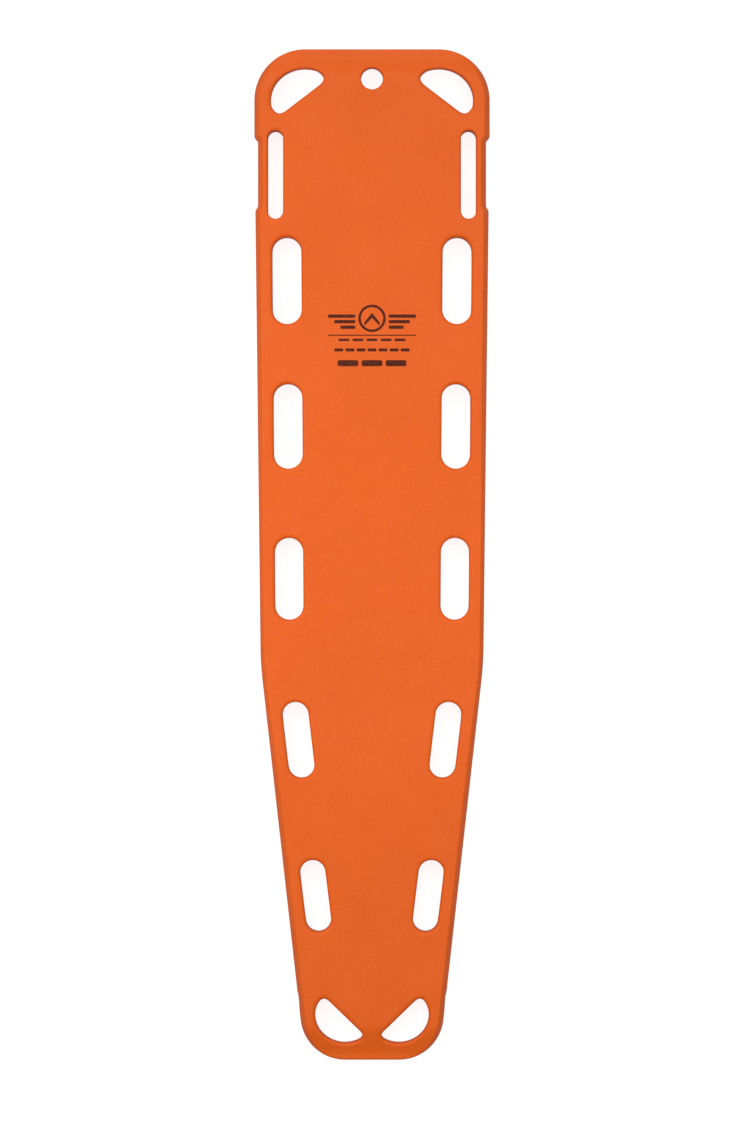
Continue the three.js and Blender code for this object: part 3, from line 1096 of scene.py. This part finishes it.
def ink_material():
    """Dark brown printing ink, slightly uneven, as it dries on polyethylene."""
    material, tree, shader, coordinates = new_material("print_ink")
    tint = ranged(tree, noise_of(tree, coordinates, 220, detail=4, roughness=0.7), 0.4, 0.75, 0, 1)
    base = mixed(tree, tint, *INK_BROWNS)
    tree.links.new(base, shader.inputs["Base Color"])
    rough = ranged(tree, noise_of(tree, coordinates, 600, detail=3), 0.3, 0.7, 0.5, 0.68)
    tree.links.new(rough, shader.inputs["Roughness"])
    normal = bumped(tree, [(noise_of(tree, coordinates, 1400, detail=2), 0.00003, 0.5)])
    tree.links.new(normal, shader.inputs["Normal"])
    shader.inputs["Specular IOR Level"].default_value = 0.1
    return material


def foam_material():
    """Rigid cream foam with fine cells."""
    material, tree, shader, coordinates = new_material("foam")
    cells = tree.nodes.new("ShaderNodeTexVoronoi")
    cells.inputs["Scale"].default_value = 700
    tree.links.new(coordinates, cells.inputs["Vector"])
    base = mixed(tree, ranged(tree, cells.outputs["Distance"], 0, 0.6, 0, 1), *FOAM_CREAMS)
    tree.links.new(base, shader.inputs["Base Color"])
    shader.inputs["Roughness"].default_value = 0.92
    normal = bumped(tree, [(cells.outputs["Distance"], 0.0006, 0.6)])
    tree.links.new(normal, shader.inputs["Normal"])
    return material


def rod_material():
    """Pultruded composite with fine fibres along the rod."""
    material, tree, shader, coordinates = new_material("rod_composite")
    fibres = noise_of(tree, coordinates, 900, detail=3, stretch=(1, 0.02, 1))
    base = mixed(tree, ranged(tree, fibres, 0.35, 0.7, 0, 1), *ROD_BLACKS)
    tree.links.new(base, shader.inputs["Base Color"])
    tree.links.new(ranged(tree, fibres, 0.3, 0.7, 0.38, 0.55), shader.inputs["Roughness"])
    normal = bumped(tree, [(fibres, 0.0001, 0.4)])
    tree.links.new(normal, shader.inputs["Normal"])
    return material


def floor_material():
    """A plain pale floor that shows white in the picture and sheds only a little light on the board."""
    material, tree, shader, _ = new_material("studio_floor")
    shader.inputs["Base Color"].default_value = (FLOOR_ALBEDO, FLOOR_ALBEDO, FLOOR_ALBEDO, 1)
    shader.inputs["Roughness"].default_value = 0.9
    shader.inputs["Specular IOR Level"].default_value = 0.1
    shader.inputs["Emission Color"].default_value = (1, 1, 1, 1)
    seen = tree.nodes.new("ShaderNodeLightPath").outputs["Is Camera Ray"]
    glow = ranged(tree, seen, 0, 1, FLOOR_SHED, FLOOR_GLOW)
    tree.links.new(glow, shader.inputs["Emission Strength"])
    return material


# ---- Stage ----


def make_floor():
    """A floor just under the board."""
    bm = bmesh.new()
    corners = [(-1, -1), (1, -1), (1, 1), (-1, 1)]
    height = cad_low.z - FLOOR_DROP
    bm.faces.new([bm.verts.new((x * FLOOR_REACH, y * FLOOR_REACH, height)) for x, y in corners])
    mesh = bpy.data.meshes.new("floor")
    bm.to_mesh(mesh)
    bm.free()
    floor = bpy.data.objects.new("floor", mesh)
    bpy.context.collection.objects.link(floor)
    mesh.materials.append(floor_material())


def add_lamp(name, kind):
    """A new light and the object that holds it."""
    light = bpy.data.lights.new(name, kind)
    lamp = bpy.data.objects.new(name, light)
    bpy.context.collection.objects.link(lamp)
    return light, lamp


def make_light():
    """Even white surroundings, a broad soft light from the head side and three soft boxes."""
    world = bpy.data.worlds.new("studio")
    bpy.context.scene.world = world
    world.use_nodes = True
    background = world.node_tree.nodes["Background"]
    background.inputs["Color"].default_value = (1, 1, 1, 1)
    background.inputs["Strength"].default_value = AMBIENT
    key, key_lamp = add_lamp("key", "SUN")
    key.energy = KEY_STRENGTH
    key.angle = KEY_SPREAD
    key_lamp.rotation_euler = (*KEY_TILT, 0)
    for name, location, size, power in SOFT_BOXES:
        light, lamp = add_lamp(name, "AREA")
        light.size = size
        light.energy = power
        lamp.location = location
        lamp.visible_camera = False
        lamp.rotation_euler = (-lamp.location).to_track_quat("-Z", "Y").to_euler()


def make_camera():
    """A camera square above the patient side."""
    camera_data = bpy.data.cameras.new("camera")
    camera_data.lens = LENS
    camera_data.sensor_width = SENSOR
    camera_data.clip_end = CLIP_END
    camera = bpy.data.objects.new("camera", camera_data)
    bpy.context.collection.objects.link(camera)
    distance = FRAME_HEIGHT * MM / (SENSOR / LENS)
    camera.location = (0, -FRAME_RISE * MM, cad_high.z + distance)
    bpy.context.scene.camera = camera


# ---- Assembly ----


def finish_piece(piece, material, slot_name, *nodes):
    """Give a piece its material and body, and hide the CAD nodes that it stands for. The slot name is not
    used.
    """
    piece.data.materials.clear()
    piece.data.materials.append(material)
    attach(piece, "root")
    if nodes:
        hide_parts(*nodes)


def dress_node(node, material):
    """Give a CAD node that keeps its own mesh a material."""
    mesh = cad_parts[node].data
    mesh.materials.clear()
    mesh.materials.append(material)


make_camera()
make_floor()
make_light()
bpy.context.scene.view_settings.view_transform = "Standard"

plan = make_plan()
board = board_material()
upper = shell(plan, "patient_side_skin", patient_side_height, PARTING_HEIGHT + SEAM_GAP, 1)
finish_piece(upper, board, "board_hdpe", "patient_side_shell")
lower = shell(plan, "underside_skin", underside_height, PARTING_HEIGHT - SEAM_GAP, -1)
finish_piece(lower, board, "board_hdpe", "underside_shell")

plug_finish = plug_material()
for label, node, facing in (
    ("vent_plug_turned", "vent_plug_head_end", 1),
    ("foam_fill_plug_turned", "foam_fill_plug_foot_end", -1),
):
    finish_piece(plug(label, node, facing), plug_finish, "plug_hdpe", node)

finish_piece(printed_mark(), ink_material(), "print_ink")

dress_node("foam_core", foam_material())
rods = rod_material()
for node in ("stiffener_rod_left", "stiffener_rod_right"):
    dress_node(node, rods)
